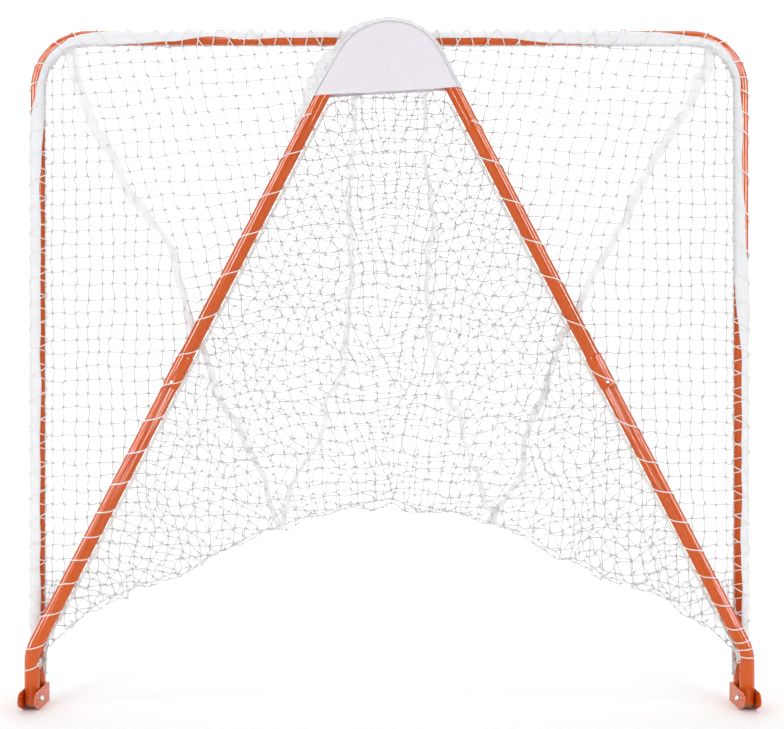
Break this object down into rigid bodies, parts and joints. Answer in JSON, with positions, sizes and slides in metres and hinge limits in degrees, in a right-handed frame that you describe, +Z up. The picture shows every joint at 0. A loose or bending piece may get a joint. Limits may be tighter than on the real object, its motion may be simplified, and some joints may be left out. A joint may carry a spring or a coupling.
{
  "type": "folding lacrosse goal",
  "caption": "Tubular square goal mouth with a hinged V-shaped ground base, shown folded upright, with a laced net and border tape.",
  "frame": {"origin": "on the ground, under the middle of the goal's box", "axes": "+X along the crossbar, +Z up, -Y towards the V base: the side the base folds down to"},
  "size_m": [1.9342, 0.136, 1.802],
  "materials": {
    "orange_paint": "gloss",
    "zinc_steel": "satin",
    "white_cord": "matte",
    "white_cloth": "matte",
    "net_cord": "matte"
  },
  "bodies": {
    "front_frame": {"left_post": "orange_paint", "left_crossbar_sleeve": "zinc_steel", "left_inner_plate": "orange_paint", "left_outer_plate": "orange_paint", "left_pivot_bolt": "zinc_steel", "left_inner_washer": "zinc_steel", "left_outer_washer": "zinc_steel", "left_pivot_nut": "zinc_steel", "left_border_tape": "white_cloth", "left_post_lace": "white_cord", "right_post": "orange_paint", "right_crossbar_sleeve": "zinc_steel", "right_inner_plate": "orange_paint", "right_outer_plate": "orange_paint", "right_pivot_bolt": "zinc_steel", "right_inner_washer": "zinc_steel", "right_outer_washer": "zinc_steel", "right_pivot_nut": "zinc_steel", "right_border_tape": "white_cloth", "right_post_lace": "white_cord", "crossbar": "orange_paint", "top_border_tape": "white_cloth", "crossbar_lace": "white_cord"},
    "v_base": {"apex_bow": "orange_paint", "apex_hood": "white_cloth", "left_leg": "orange_paint", "left_leg_socket": "orange_paint", "left_button_spring": "zinc_steel", "left_pivot_bush": "zinc_steel", "left_leg_lace": "white_cord", "left_net_rope": "white_cord", "right_leg": "orange_paint", "right_leg_socket": "orange_paint", "right_button_spring": "zinc_steel", "right_pivot_bush": "zinc_steel", "right_leg_lace": "white_cord", "right_net_rope": "white_cord"},
    "net_front": {"front_net": "net_cord", "left_front_seam": "white_cloth", "right_front_seam": "white_cloth"},
    "net_rear": {"rear_net": "net_cord", "left_rear_seam": "white_cloth", "right_rear_seam": "white_cloth"},
    "left_button": {"left_snap_button": "zinc_steel"},
    "right_button": {"right_snap_button": "zinc_steel"}
  },
  "joints": [
    {"name": "v_base_fold", "type": "hinge", "parent": "front_frame", "child": "v_base", "pos_m": [0, -0.015, 0.028], "axis": [1, 0, 0], "range_deg": [0, 90], "deforming": ["front_net", "rear_net", "left_front_seam", "right_front_seam", "left_rear_seam", "right_rear_seam"]},
    {"name": "net_front_swing", "type": "hinge", "parent": "front_frame", "child": "net_front", "pos_m": [0, 0.04, 1.766], "axis": [1, 0, 0], "range_deg": [-46, 0]},
    {"name": "net_rear_swing", "type": "hinge", "parent": "v_base", "child": "net_rear", "pos_m": [0, -0.015, 1.766], "axis": [1, 0, 0], "range_deg": [0, 45]},
    {"name": "left_button_press", "type": "slide", "parent": "v_base", "child": "left_button", "axis": [0, 1, 0], "range_m": [0, 0.004], "stiffness_N_per_m": 900, "deforming": ["left_button_spring"]},
    {"name": "right_button_press", "type": "slide", "parent": "v_base", "child": "right_button", "axis": [0, 1, 0], "range_m": [0, 0.004], "stiffness_N_per_m": 900, "deforming": ["right_button_spring"]}
  ],
  "couplings": [
    {"joint": "net_front_swing", "follows": "v_base_fold", "ratio": -0.51},
    {"joint": "net_rear_swing", "follows": "v_base_fold", "ratio": 0.49}
  ]
}
